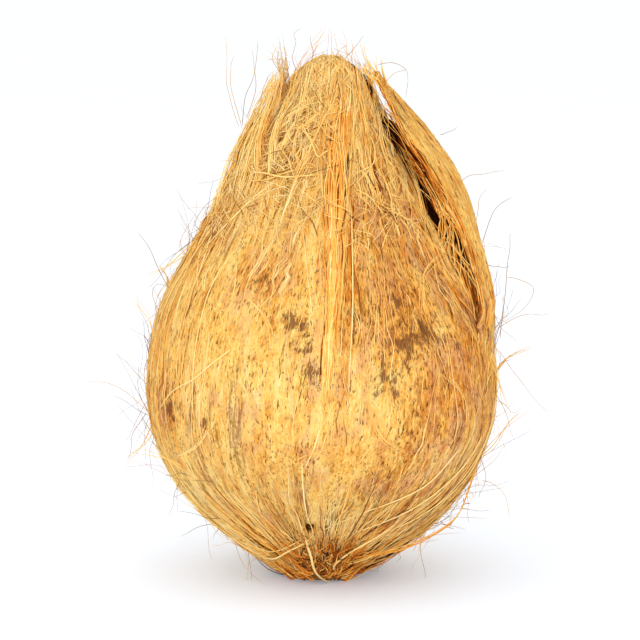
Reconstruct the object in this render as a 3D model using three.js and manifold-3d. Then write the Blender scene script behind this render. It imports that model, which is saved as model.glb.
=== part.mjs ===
// A partly husked coconut, standing on the flat spot under its heavy end. The husk is one piece: a
// pear-shaped, faintly three-sided body ribbed with coir, a shaggy tuft over the stem end, a tongue of
// husk that has split away down one side, a knot of fibre at the pointed end, and loose coarse fibres.
// Millimetres, +Z up. The origin is the middle of the flat spot; the split side faces +X and the
// raised front seam faces -Y.
import * as THREE from "three";
import { mergeVertices } from "three/addons/utils/BufferGeometryUtils.js";
import Module from "manifold-3d";

const wasm = await Module();
wasm.setup();

// ---- Driving dimensions -------------------------------------------------------------------------
// The body's outline: [radius, distance along the core line from the pointed end].
const OUTLINE = [
  [0, 0], [8, 1.6], [20, 7.5], [34.6, 18.5], [45.8, 30], [53.2, 44], [56.4, 60], [54.8, 79], [50, 94],
  [42.2, 108], [33.8, 122], [27.4, 134], [22, 145], [15.2, 156], [10, 163.4], [4.8, 167.6], [0, 169],
];
const CORE_LENGTH = OUTLINE.at(-1)[1];
const FLAT_DEPTH = 1.8; // how much of the round underside is lost to the flat spot
const FLAT_CENTRE_Y = -0.9; // the flat spot's middle, in front of the lowest point

// The core line leans: its lower end points forward, and the lean fades on the way up.
const LEAN_BOTTOM = THREE.MathUtils.degToRad(20);
const LEAN_TOP = THREE.MathUtils.degToRad(-1);
const LEAN_LENGTH = 55;

const CROWN_SHIFT = 3.2; // how far the crown stands towards +X of the core line

// Angles round the core line, in degrees: 0 is +X, and -90 is the front.
const SEAM_ANGLE = -91; // the raised front seam, one of the fruit's three corners, at its lower end
const SEAM_DRIFT = 19.5; // how far the seam turns towards +X on its way up
const SPLIT_ANGLE = -28; // the open split beside the tongue, at its upper end
const SPLIT_DRIFT = 12; // how far the split turns towards +X on its way down
const THREE_SIDED = 0.022; // share of the radius by which the three corners stand out
const SEAM_HEIGHT = 2.4;
const SEAM_WIDTH = 2.7; // half width of the seam's cord of fibre
const SEAM_GROOVE = 1.3;
const RIB_HEIGHT = 0.7;
const SHOULDER = 11; // extra fullness of the neck under the tongue
const SHOULDER_ANGLE = 15;
const SPLIT_DEPTH = 3.8;
const SPLIT_FROM = 84; // where the split starts, along the core line

const TONGUE_THICKNESS = 2.6;
// The tongue of husk: [outer radius, height along the core line, front edge angle, back edge angle].
const TONGUE = [
  [54.4, 80, -23, 44], [54.8, 91, -24, 42], [52.6, 102, -24.5, 38], [49.3, 112.5, -24.5, 33],
  [45.2, 124.5, -29.5, 27], [39.6, 136.5, -34, 18], [32.8, 146, -37, 8], [25, 154, -37, -6],
  [18.4, 160.5, -33, -16], [15.4, 165, -30, -20],
];

const COLUMNS = 80;
const RINGS = 30;
const CROWDING = 0.3; // how much closer the columns stand between the seam and the split
const CROWDED_ANGLE = -60;

const STRAND_RADIUS = 0.85; // a strand of coir, many fibres together, at its root
const FIBRE_RADIUS = 0.52; // a coarse single fibre, at its root
const FIBRE_TIP = 0.4;
const NECK_STRANDS = 46;
const SIDE_FIBRES = 36;
const KNOT_STRANDS = 14;

const HUSK_COLOUR = 0xe3a95a;
const HUSK_ROUGHNESS = 0.85;

// ---- Small helpers ------------------------------------------------------------------------------
const radians = THREE.MathUtils.degToRad;
const { smoothstep, lerp, euclideanModulo } = THREE.MathUtils;

// A repeatable random number source: each part of the husk has its own seed.
function randomSource(seed) {
  let state = seed;
  return () => {
    state = (state * 1664525 + 1013904223) % 4294967296;
    return state / 4294967296;
  };
}

// A bump that is 1 at the centre and fades to 0 over a few widths.
const bump = (distance, width) => Math.exp(-((distance / width) ** 2));

// The difference between two angles in degrees, from -180 to 180.
const turn = (a, b) => euclideanModulo(a - b + 180, 360) - 180;

// A closed geometry as a solid that can be joined and cut.
function solid(geometry) {
  const bare = geometry.clone();
  bare.deleteAttribute("normal");
  bare.deleteAttribute("uv");
  const merged = mergeVertices(bare, 1e-4);
  return new wasm.Manifold(new wasm.Mesh({
    numProp: 3,
    vertProperties: merged.attributes.position.array,
    triVerts: new Uint32Array(merged.index.array),
  }));
}

// A solid as a three.js geometry with flat faces.
function geometryOf(made) {
  const mesh = made.getMesh();
  const geometry = new THREE.BufferGeometry();
  geometry.setAttribute("position", new THREE.BufferAttribute(mesh.vertProperties, 3));
  geometry.setIndex(new THREE.BufferAttribute(mesh.triVerts, 1));
  return geometry;
}

// ---- The core line and the skin round it ---------------------------------------------------------
const outline = new THREE.SplineCurve(OUTLINE.map(([r, s]) => new THREE.Vector2(r, s)));

// Where the core line is, and its lean, at a distance along it.
function core(s) {
  const rate = (LEAN_BOTTOM - LEAN_TOP) / LEAN_LENGTH;
  const bent = Math.min(s, LEAN_LENGTH);
  const lean = LEAN_BOTTOM - rate * bent;
  const straight = s - bent;
  const y = (Math.cos(lean) - Math.cos(LEAN_BOTTOM)) / rate + straight * Math.sin(lean);
  const z = (Math.sin(LEAN_BOTTOM) - Math.sin(lean)) / rate + straight * Math.cos(lean);
  return { y, z, lean };
}

// The point at a radius and an angle round the core line.
function around(radius, degrees, s) {
  const { y, z, lean } = core(s);
  const shift = CROWN_SHIFT * smoothstep(s, 142, 162);
  const sideways = radius * Math.cos(radians(degrees)) + shift;
  const back = radius * Math.sin(radians(degrees));
  return new THREE.Vector3(sideways, y + back * Math.cos(lean), z - back * Math.sin(lean));
}

// The fibre turns with the seam as it runs up the husk, and with the split as it runs down.
function drifted(degrees, s) {
  const up = Math.max(0, s / CORE_LENGTH) ** 2.6;
  const down = (1 - smoothstep(s, 76, 112)) * smoothstep(s, 0, 60);
  const withSeam = SEAM_DRIFT * up * bump(turn(degrees, SEAM_ANGLE), 40);
  return degrees + withSeam + SPLIT_DRIFT * down * bump(turn(degrees, SPLIT_ANGLE), 30);
}

const ribRandom = randomSource(11);
const ribs = Array.from({ length: COLUMNS }, (_, i) => ({
  height: (i % 2 ? 1 : -1) * (0.35 + ribRandom()),
  phase: ribRandom() * 2 * Math.PI,
  pitch: 16 + 26 * ribRandom(),
}));

// How far the coir stands out of the smooth outline in one column.
function ribRelief(column, s) {
  const rib = ribs[column];
  const swell = 0.6 + 0.4 * Math.sin(s / rib.pitch + rib.phase);
  const coarse = smoothstep(s, 4, 26) * (1 + smoothstep(s, 112, 150));
  return RIB_HEIGHT * rib.height * swell * coarse;
}

// The raised cord of fibre down the front, with a groove on its +X side, strong over the neck and
// fading over the round end.
function seamRelief(degrees, s, radius) {
  const across = radians(turn(degrees, SEAM_ANGLE)) * radius;
  const ends = smoothstep(s, 8, 60) * (1 - smoothstep(s, 142, 160));
  const strength = ends * (0.45 + 0.55 * smoothstep(s, 60, 105));
  const groove = SEAM_GROOVE * bump(across - 2 * SEAM_WIDTH, SEAM_WIDTH);
  return strength * (SEAM_HEIGHT * bump(across, SEAM_WIDTH) - groove);
}

// The husk under the tongue is sunk, with a steep wall at the split.
function splitRelief(degrees, s) {
  const wall = smoothstep(turn(degrees, SPLIT_ANGLE), -1.5, 3);
  const back = 1 - smoothstep(turn(degrees, SPLIT_ANGLE), 62, 104);
  const depth = smoothstep(s, SPLIT_FROM, 116) * (1 - 0.55 * smoothstep(s, 146, 160));
  return -SPLIT_DEPTH * depth * wall * back;
}

// The radius of the smooth husk: its three corners, its full shoulder and its split.
function smoothRadius(radius, degrees, s) {
  const corners = 1 + THREE_SIDED * Math.cos(3 * radians(degrees - SEAM_ANGLE));
  const height = smoothstep(s, 70, 118) * (1 - smoothstep(s, 126, 158));
  const shoulder = SHOULDER * height * bump(turn(degrees, SHOULDER_ANGLE), 45);
  const closing = Math.min(1, radius / 8); // relief ends where the skin closes at its two poles
  return radius * corners + (shoulder + splitRelief(degrees, s)) * closing;
}

// The radius of the husk's skin in a column of fibre, with its seam and ribs.
function skinRadius(radius, degrees, s, column) {
  const closing = Math.min(1, radius / 8);
  return smoothRadius(radius, degrees, s) + (seamRelief(degrees, s, radius) + ribRelief(column, s)) * closing;
}

// The fibre columns' angles, closest together at the front right.
function columnAngle(share) {
  const t = 2 * Math.PI * (share - 0.5);
  return CROWDED_ANGLE + THREE.MathUtils.radToDeg(t - CROWDING * Math.sin(t));
}

// The point of the husk's skin at a share of the way round and a share of the way up.
function skinPoint(column, up) {
  const { x: radius, y: s } = outline.getPoint(up);
  const degrees = columnAngle(column / COLUMNS);
  return around(skinRadius(radius, degrees, s, column), drifted(degrees, s), s);
}

function huskBody() {
  const skin = new THREE.SphereGeometry(1, COLUMNS, RINGS);
  const { position, uv } = skin.attributes;
  for (let i = 0; i < position.count; i++) {
    const column = euclideanModulo(Math.round(uv.getX(i) * COLUMNS), COLUMNS);
    position.setXYZ(i, ...skinPoint(column, uv.getY(i)));
  }
  return skin;
}

// ---- The tongue of husk that has split away -------------------------------------------------------
function tonguePoint(across, up, outwards) {
  const t = up * (TONGUE.length - 1);
  const low = TONGUE[Math.min(Math.floor(t), TONGUE.length - 2)];
  const high = TONGUE[Math.min(Math.floor(t), TONGUE.length - 2) + 1];
  const share = t - TONGUE.indexOf(low);
  const [radius, s, front, back] = low.map((value, i) => lerp(value, high[i], share));
  const degrees = lerp(front, back, across + 0.5);
  const thickness = TONGUE_THICKNESS * (1 - 0.55 * up) * (1 - 0.5 * (2 * across) ** 2);
  const crown = 1.1 * (1 - (2 * across) ** 2) * Math.sin(Math.PI * up);
  const flute = 0.45 * Math.sin(across * 21 + 2 * up) * Math.sin(Math.PI * up);
  return around(radius + crown + flute - (1 - outwards) * thickness, degrees, s);
}

function tongue() {
  const blade = new THREE.BoxGeometry(1, 1, 1, 10, 18, 1);
  const { position } = blade.attributes;
  for (let i = 0; i < position.count; i++) {
    const up = position.getY(i) + 0.5;
    position.setXYZ(i, ...tonguePoint(position.getX(i), up, position.getZ(i)));
  }
  return blade;
}

// ---- Loose fibres ---------------------------------------------------------------------------------
// A tapered three-sided fibre along a smooth line through the given points.
function fibre(points, root, tip, steps = 4) {
  const line = new THREE.CatmullRomCurve3(points);
  const frames = line.computeFrenetFrames(steps);
  const tube = new THREE.CylinderGeometry(tip, root, 1, 3, steps);
  const { position } = tube.attributes;
  const place = new THREE.Vector3();
  for (let i = 0; i < position.count; i++) {
    const along = position.getY(i) + 0.5;
    const step = Math.round(along * steps);
    place.copy(line.getPointAt(along));
    place.addScaledVector(frames.normals[step], position.getX(i));
    place.addScaledVector(frames.binormals[step], -position.getZ(i));
    position.setXYZ(i, ...place);
  }
  return tube;
}

// The smooth husk at an angle and a height, raised by lift: where a fibre grows.
function huskAt(degrees, s, lift = 0) {
  const { x: radius } = outline.getPoint(shareAt(s));
  return around(smoothRadius(radius, degrees, s) + lift, drifted(degrees, s), s);
}

// The outline's parameter at a distance along the core line, found by halving.
function shareAt(s) {
  let low = 0;
  let high = 1;
  for (let i = 0; i < 24; i++) {
    const middle = (low + high) / 2;
    if (outline.getPoint(middle).y < s) low = middle;
    else high = middle;
  }
  return (low + high) / 2;
}

// The shag of the neck: strands that lie up it, and stand off at their upper ends.
function neckStrands() {
  const random = randomSource(23);
  return Array.from({ length: NECK_STRANDS }, (_, i) => {
    const degrees = (i * 137.5) % 360;
    const root = lerp(114, 148, (i + random()) / NECK_STRANDS);
    const length = lerp(18, 32, random());
    const sweep = lerp(-15, 15, random());
    const flare = lerp(0.8, 4.5, random());
    const top = Math.min(root + length, CORE_LENGTH - 4);
    const tip = huskAt(degrees + sweep, top, flare);
    tip.z += (root + length - top) * 0.3;
    return fibre([
      huskAt(degrees, root, -2.6),
      huskAt(degrees + sweep * 0.15, lerp(root, top, 0.25), 0.5),
      huskAt(degrees + sweep * 0.5, lerp(root, top, 0.65), 0.7 + flare * 0.3),
      tip,
    ], STRAND_RADIUS, FIBRE_TIP);
  });
}

// Stray fibres all round the husk: each leaves the skin at a slant and curls away from it.
function sideFibres() {
  const random = randomSource(37);
  return Array.from({ length: SIDE_FIBRES }, (_, i) => {
    const degrees = i * 137.5 + 20;
    const s = lerp(24, 128, (i + 0.5) / SIDE_FIBRES);
    const reach = lerp(5, 13, random());
    const rise = lerp(9, 24, random()) * (i % 3 ? 1 : -0.8);
    const sweep = lerp(-12, 12, random());
    return fibre([
      huskAt(degrees, s, -2),
      huskAt(degrees + sweep * 0.1, s + rise * 0.34, reach * 0.16),
      huskAt(degrees + sweep * 0.4, s + rise * 0.7, reach * 0.48),
      huskAt(degrees + sweep, s + rise, reach),
    ], FIBRE_RADIUS, FIBRE_TIP);
  });
}

// The torn stub at the pointed end: short thick strands that spread forward and sideways from it.
function knotStrands() {
  const random = randomSource(53);
  return Array.from({ length: KNOT_STRANDS }, (_, i) => {
    const degrees = lerp(-190, 10, (i + 0.5) / KNOT_STRANDS) + lerp(-6, 6, random());
    const turned = degrees + lerp(-35, 35, random());
    const reach = lerp(5, 11, random());
    const stand = lerp(0.6, 2.6, random());
    return fibre([
      huskAt(degrees, 2.5, -3),
      around(reach, degrees, 2.2 - stand),
      around(reach + 5, lerp(degrees, turned, 0.6), 5 - stand),
      around(reach + 9, turned, 8.5 - stand * 1.4),
    ], 1.1, 0.45);
  });
}

// A bundle that has come loose at the lower right and hangs between two places on the husk.
function hangingLoop() {
  return fibre([
    huskAt(-16, 42, -2), huskAt(-14, 30, 2.5), huskAt(-18, 20, 8), huskAt(-30, 12, 9),
    huskAt(-50, 7, 5.5), huskAt(-70, 5, -1.5),
  ], 0.9, 0.7, 12);
}

// Bundles that stand up beside the neck on the -X side, and off the tongue's tip.
function standingBundles() {
  const tip = tonguePoint(-0.1, 1, 0.4);
  return [
    [huskAt(186, 118, -2), huskAt(186, 133, 1.8), huskAt(180, 148, 3.6), huskAt(176, 163, 8)],
    [huskAt(206, 122, -2), huskAt(203, 137, 1.4), huskAt(204, 151, 3.6), huskAt(206, 165, 9.5)],
    [huskAt(150, 120, -2), huskAt(155, 136, 1.6), huskAt(162, 150, 3.4), huskAt(166, 163, 7)],
    [huskAt(222, 132, -2), huskAt(217, 144, 2.2), huskAt(212, 155, 5.4), huskAt(204, 166, 11)],
    [tonguePoint(-0.3, 0.9, 0.5), tip, tip.clone().add(new THREE.Vector3(-3, 0.4, 8))],
  ].map((points) => fibre(points, STRAND_RADIUS, FIBRE_TIP, 6));
}

// ---- The whole husk -------------------------------------------------------------------------------
function lowestPoint(geometry) {
  const { position } = geometry.attributes;
  let lowest = new THREE.Vector3(0, 0, Infinity);
  for (let i = 0; i < position.count; i++) {
    if (position.getZ(i) < lowest.z) lowest = new THREE.Vector3().fromBufferAttribute(position, i);
  }
  return lowest;
}

// The husk itself, without any end of a strand that the flat spot has cut loose.
function largest(made) {
  return made.decompose().reduce((best, piece) => (piece.volume() > best.volume() ? piece : best));
}

function coconut() {
  const body = huskBody();
  const lowest = lowestPoint(body);
  const pieces = [
    body, tongue(), hangingLoop(), ...standingBundles(), ...neckStrands(), ...sideFibres(), ...knotStrands(),
  ];
  const whole = wasm.Manifold.union(pieces.map(solid));

  // The flat spot: everything below it is cut away.
  const floor = new THREE.BoxGeometry(200, 200, 40);
  floor.translate(0, lowest.y, lowest.z + FLAT_DEPTH - 20);
  const geometry = geometryOf(largest(whole.subtract(solid(floor))));
  geometry.translate(0, -lowest.y - FLAT_CENTRE_Y, -lowest.z - FLAT_DEPTH);

  const material = new THREE.MeshStandardMaterial({
    color: HUSK_COLOUR, roughness: HUSK_ROUGHNESS, metalness: 0, flatShading: true,
  });
  const mesh = new THREE.Mesh(geometry, material);
  mesh.name = "coconut";
  return mesh;
}

const part = new THREE.Group();
part.add(coconut());

export default part;
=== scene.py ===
# A partly husked coconut, standing on its heavy end on a pale studio floor
import math

import bpy
import numpy as np
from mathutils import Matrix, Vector, noise


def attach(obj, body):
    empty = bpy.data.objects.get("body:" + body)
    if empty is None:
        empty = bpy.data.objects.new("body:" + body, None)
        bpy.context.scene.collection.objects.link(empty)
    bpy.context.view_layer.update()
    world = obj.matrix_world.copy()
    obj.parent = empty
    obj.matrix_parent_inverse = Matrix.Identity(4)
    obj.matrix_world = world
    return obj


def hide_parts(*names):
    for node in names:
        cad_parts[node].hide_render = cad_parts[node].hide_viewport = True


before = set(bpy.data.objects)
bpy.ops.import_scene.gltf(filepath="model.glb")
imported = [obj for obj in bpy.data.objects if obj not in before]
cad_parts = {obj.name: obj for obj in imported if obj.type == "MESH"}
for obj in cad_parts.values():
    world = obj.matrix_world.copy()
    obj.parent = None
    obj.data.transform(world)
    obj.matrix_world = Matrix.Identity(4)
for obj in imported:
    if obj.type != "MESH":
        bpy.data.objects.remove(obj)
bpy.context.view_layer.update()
mm = 0.001

# the husk's form, in millimetres and degrees, as the solid has it
husk = {
    "outline": [  # radius, and distance along the core line from the pointed end
        (0, 0), (8, 1.6), (20, 7.5), (34.6, 18.5), (45.8, 30), (53.2, 44), (56.4, 60), (54.8, 79), (50, 94),
        (42.2, 108), (33.8, 122), (27.4, 134), (22, 145), (15.2, 156), (10, 163.4), (4.8, 167.6), (0, 169),
    ],
    "leanBottom": 20,
    "leanTop": -1,
    "leanLength": 55,
    "crownShift": 3.2,
    "seamAngle": -91,  # the raised front seam; 0 is +X and -90 the front
    "seamDrift": 19.5,
    "seamHeight": 2.4,
    "seamWidth": 2.7,
    "seamGroove": 1.3,
    "threeSided": 0.022,
    "tipRadius": 8,  # nearer the two ends than this, every rise and hollow fades out
    "splitAngle": -28,
    "splitDrift": 12,
    "splitDepth": 3.8,
    "splitFrom": 84,
    "shoulder": 11,
    "shoulderAngle": 15,
    "shoulderWidth": 45,
    "shoulderRise": (70, 118),
    "shoulderFall": (126, 158),
    "flatDepth": 1.8,
    "flatCentreY": -0.9,
}


def smoothstep(x, low, high):
    t = np.clip((x - low) / (high - low), 0, 1)
    return t * t * (3 - 2 * t)


def bump(distance, width):
    return np.exp(-((distance / width) ** 2))


def arch(t, end=0.0):  # up to 1 halfway along, and down again
    return np.sin(math.pi * (end + (1 - 2 * end) * t))


def turn(a, b):  # difference between two angles, -180 to 180
    return (a - b + 180) % 360 - 180


def catmull(rows, t):  # a smooth line through rows, t from 0 to 1
    rows = np.array(rows, dtype=float)
    spans = len(rows) - 1
    scaled = np.clip(np.asarray(t, dtype=float), 0, 1) * spans
    index = np.minimum(scaled.astype(int), spans - 1)
    w = (scaled - index)[..., None]
    p0 = rows[np.maximum(index - 1, 0)]
    p1 = rows[index]
    p2 = rows[index + 1]
    p3 = rows[np.minimum(index + 2, spans)]
    v0 = (p2 - p0) / 2
    v1 = (p3 - p1) / 2
    return (2 * p1 - 2 * p2 + v0 + v1) * w**3 + (-3 * p1 + 3 * p2 - 2 * v0 - v1) * w**2 + v0 * w + p1


outlineTable = catmull(husk["outline"], np.linspace(0, 1, 1600))
arcTable = np.concatenate([[0], np.cumsum(np.hypot(*np.diff(outlineTable, axis=0).T))])
arcLength = arcTable[-1]  # along the husk from the pointed end to the crown


def arcAt(s):  # the way along the husk to a distance along the core line
    return np.interp(s, outlineTable[:, 1], arcTable)


def coreAt(arc):  # and the other way round
    return np.interp(arc, arcTable, outlineTable[:, 1])


def radiusAt(arc):
    return np.interp(arc, arcTable, outlineTable[:, 0])


def around(radius, degrees, s):  # a point round the leaning core line
    bottom = math.radians(husk["leanBottom"])
    rate = (bottom - math.radians(husk["leanTop"])) / husk["leanLength"]
    bent = np.minimum(s, husk["leanLength"])
    lean = bottom - rate * bent
    y = (np.cos(lean) - math.cos(bottom)) / rate + (s - bent) * np.sin(lean)
    z = (math.sin(bottom) - np.sin(lean)) / rate + (s - bent) * np.cos(lean)
    angle = np.radians(degrees)
    aside = radius * np.cos(angle) + husk["crownShift"] * smoothstep(s, 142, 162)
    back = radius * np.sin(angle)
    return np.stack([aside, y + back * np.cos(lean), z - back * np.sin(lean)], axis=-1)


def drifted(degrees, s):  # the fibres turn with the seam on its way up, and with the split on its way down
    up = np.clip(s / husk["outline"][-1][1], 0, 1) ** 2.6
    down = (1 - smoothstep(s, 76, 112)) * smoothstep(s, 0, 60)
    withSeam = husk["seamDrift"] * up * bump(turn(degrees, husk["seamAngle"]), 40)
    return degrees + withSeam + husk["splitDrift"] * down * bump(turn(degrees, husk["splitAngle"]), 30)


def splitShare(degrees, s):  # 1 inside the split, 0 on the sound husk
    away = turn(degrees, husk["splitAngle"])
    depth = smoothstep(s, husk["splitFrom"], 116) * (1 - 0.55 * smoothstep(s, 146, 160))
    return depth * smoothstep(away, -1.5, 3) * (1 - smoothstep(away, 62, 104))


def seamRelief(degrees, s, radius):  # the cord of fibre down the front, and the groove beside it
    across = np.radians(turn(degrees, husk["seamAngle"])) * radius
    width = husk["seamWidth"]
    ends = smoothstep(s, 8, 60) * (1 - smoothstep(s, 142, 160))
    strength = ends * (0.45 + 0.55 * smoothstep(s, 60, 105))
    groove = husk["seamGroove"] * bump(across - 2 * width, width)
    return strength * (husk["seamHeight"] * bump(across, width) - groove)


def skin(degrees, arc, lift=0.0):  # a point of the smooth husk, before it is set down on its flat spot
    arc = np.clip(arc, 0, arcLength)
    radius = radiusAt(arc)
    s = coreAt(arc)
    closing = np.minimum(1, radius / husk["tipRadius"])
    corners = 1 + husk["threeSided"] * np.cos(3 * np.radians(degrees - husk["seamAngle"]))
    height = smoothstep(s, *husk["shoulderRise"]) * (1 - smoothstep(s, *husk["shoulderFall"]))
    full = husk["shoulder"] * height * bump(turn(degrees, husk["shoulderAngle"]), husk["shoulderWidth"])
    raised = seamRelief(degrees, s, radius)
    sunk = husk["splitDepth"] * splitShare(degrees, s)
    return around(radius * corners + (full + raised - sunk) * closing + lift, drifted(degrees, s), s)


lowest = skin(*np.meshgrid(np.linspace(-180, 180, 361), np.linspace(0, 40, 161)))
lowest = lowest.reshape(-1, 3)[np.argmin(lowest[..., 2])]
setDown = np.array([0, -lowest[1] - husk["flatCentreY"], -lowest[2] - husk["flatDepth"]])


def outwards(degrees, arc):  # the husk's normal
    arc = np.clip(arc, 1.5, arcLength - 1.5)
    step = 0.8
    sideways = skin(degrees + step, arc) - skin(degrees - step, arc)
    upwards = skin(degrees, arc + step) - skin(degrees, arc - step)
    normal = np.cross(sideways, upwards)
    return normal / np.linalg.norm(normal, axis=-1, keepdims=True)


def onHusk(degrees, arc, lift=0.0):  # a point over the husk, raised by lift along its normal
    degrees, arc, lift = np.broadcast_arrays(degrees, arc, lift)
    over = arc - np.clip(arc, 0, arcLength)
    place = skin(degrees, arc) + setDown + outwards(degrees, arc) * lift[..., None]
    place[..., 2] += over
    return place


# colours and materials
def linear(hexColour):  # sRGB hex to linear
    channels = [int(hexColour[i:i + 2], 16) / 255 for i in (1, 3, 5)]
    return [c / 12.92 if c <= 0.04045 else ((c + 0.055) / 1.055) ** 2.4 for c in channels] + [1]


def addNode(tree, kind, settings=None, inputs=None, stops=None, output=0):  # adds a node, gives an output
    node = tree.nodes.new("ShaderNode" + kind)
    for key, value in (settings or {}).items():
        setattr(node, key, value)
    for key, value in (inputs or {}).items():
        if isinstance(value, bpy.types.NodeSocket):
            tree.links.new(value, node.inputs[key])
        else:
            node.inputs[key].default_value = value
    for i, (place, colour) in enumerate(stops or []):
        ramp = node.color_ramp.elements
        stop = ramp[i] if i < 2 else ramp.new(place)
        stop.position = place
        stop.color = linear(colour)
    return node.outputs[output]


def newMaterial(name, values):
    material = bpy.data.materials.new(name)
    material.use_nodes = True
    shader = material.node_tree.nodes["Principled BSDF"]
    for key, value in values.items():
        shader.inputs[key].default_value = value
    return material, material.node_tree, shader


def grain(tree, place, width, length, detail=3.0, roughness=0.55):  # noise, -1 to 1, of a width and a length
    sizes = (1 / width, 1 / width, 1 / length)
    stretched = addNode(tree, "Mapping", None, {"Vector": place, "Scale": sizes})
    inputs = {"Vector": stretched, "Scale": 1.0, "Detail": detail, "Roughness": roughness}
    value = addNode(tree, "TexNoise", None, inputs, output="Fac")
    ends = {"Value": value, "From Min": 0.3, "From Max": 0.7, "To Min": -1, "To Max": 1}
    return addNode(tree, "MapRange", {"clamp": False}, ends)


def addUp(tree, patterns, start=0.0):  # start and every pattern times its weight
    total = start
    for value, weight in patterns:
        total = addNode(tree, "Math", {"operation": "MULTIPLY_ADD"}, {0: value, 1: weight, 2: total})
    return total


# goes smoothly from bottom to top as the sum of the patterns goes from low to high
def between(tree, patterns, low, high, bottom=0.0, top=1.0):
    total = addUp(tree, patterns)
    ends = {"Value": total, "From Min": low, "From Max": high, "To Min": bottom, "To Max": top}
    return addNode(tree, "MapRange", {"interpolation_type": "SMOOTHSTEP"}, ends)


def closeness(tree, place, spots):  # 1 at the middle of the nearest spot, 0 past its width, below 0 beyond
    nearest = -3.0
    for degrees, arc, width in spots:
        centre = onHusk(degrees, arc) * mm
        far = addNode(tree, "VectorMath", {"operation": "DISTANCE"}, {0: place, 1: centre}, output="Value")
        near = addUp(tree, [(far, -1 / (width * mm))], 1.0)
        nearest = addNode(tree, "Math", {"operation": "MAXIMUM"}, {0: near, 1: nearest})
    return nearest


huskFinish = {
    "tones": [(0, "#8A4410"), (1, "#FFE6A4"), (0.2, "#C47220"), (0.42, "#EAA140"), (0.66, "#F9CB6E")],
    "hues": {
        "pinkish": "#D99C6E", "orange": "#DE8128", "fleck": "#A85C28", "speck": "#642004",
        "mould": "#784728", "strap": "#EAAC54", "crack": "#6C300A", "mattedAndShade": "#DA9238",
        # the near-black hue below is dark pith and painted shade in the split and the holes of the torn end
        "rust": "#A85A18", "pithAndShade": "#2B1607", "torn": "#8F5B2C",
    },
    "mouldSpots": [  # angle, way along the husk from the pointed end, and width in mm
        (-102, 121, 8), (-99, 114, 9), (-95, 107, 8), (-67, 113, 14), (-72, 103, 11), (-58, 115, 11),
        (-66, 127, 6), (-148, 89, 8), (-117, 134, 6), (-130, 88, 5), (60, 100, 11), (120, 80, 9),
        (172, 108, 11), (90, 128, 8),
    ],
    # spots where the husk is a warmer orange; they also darken its right side, away from the key light, as
    # painted shade
    "warmAndShadedSpots": [
        (-62, 132, 24), (-60, 156, 14), (-50, 105, 14), (-117, 136, 11), (-78, 172, 8), (-152, 92, 10),
        (-118, 178, 9), (150, 130, 18), (70, 118, 22), (110, 70, 16), (-55, 84, 20), (-44, 66, 20),
        (-35, 104, 26), (-28, 78, 22), (-46, 50, 18), (-24, 56, 20), (-62, 62, 14), (4, 122, 13),
        (2, 102, 15), (0, 80, 17), (-4, 60, 15), (-150, 168, 9),
    ],
}


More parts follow.
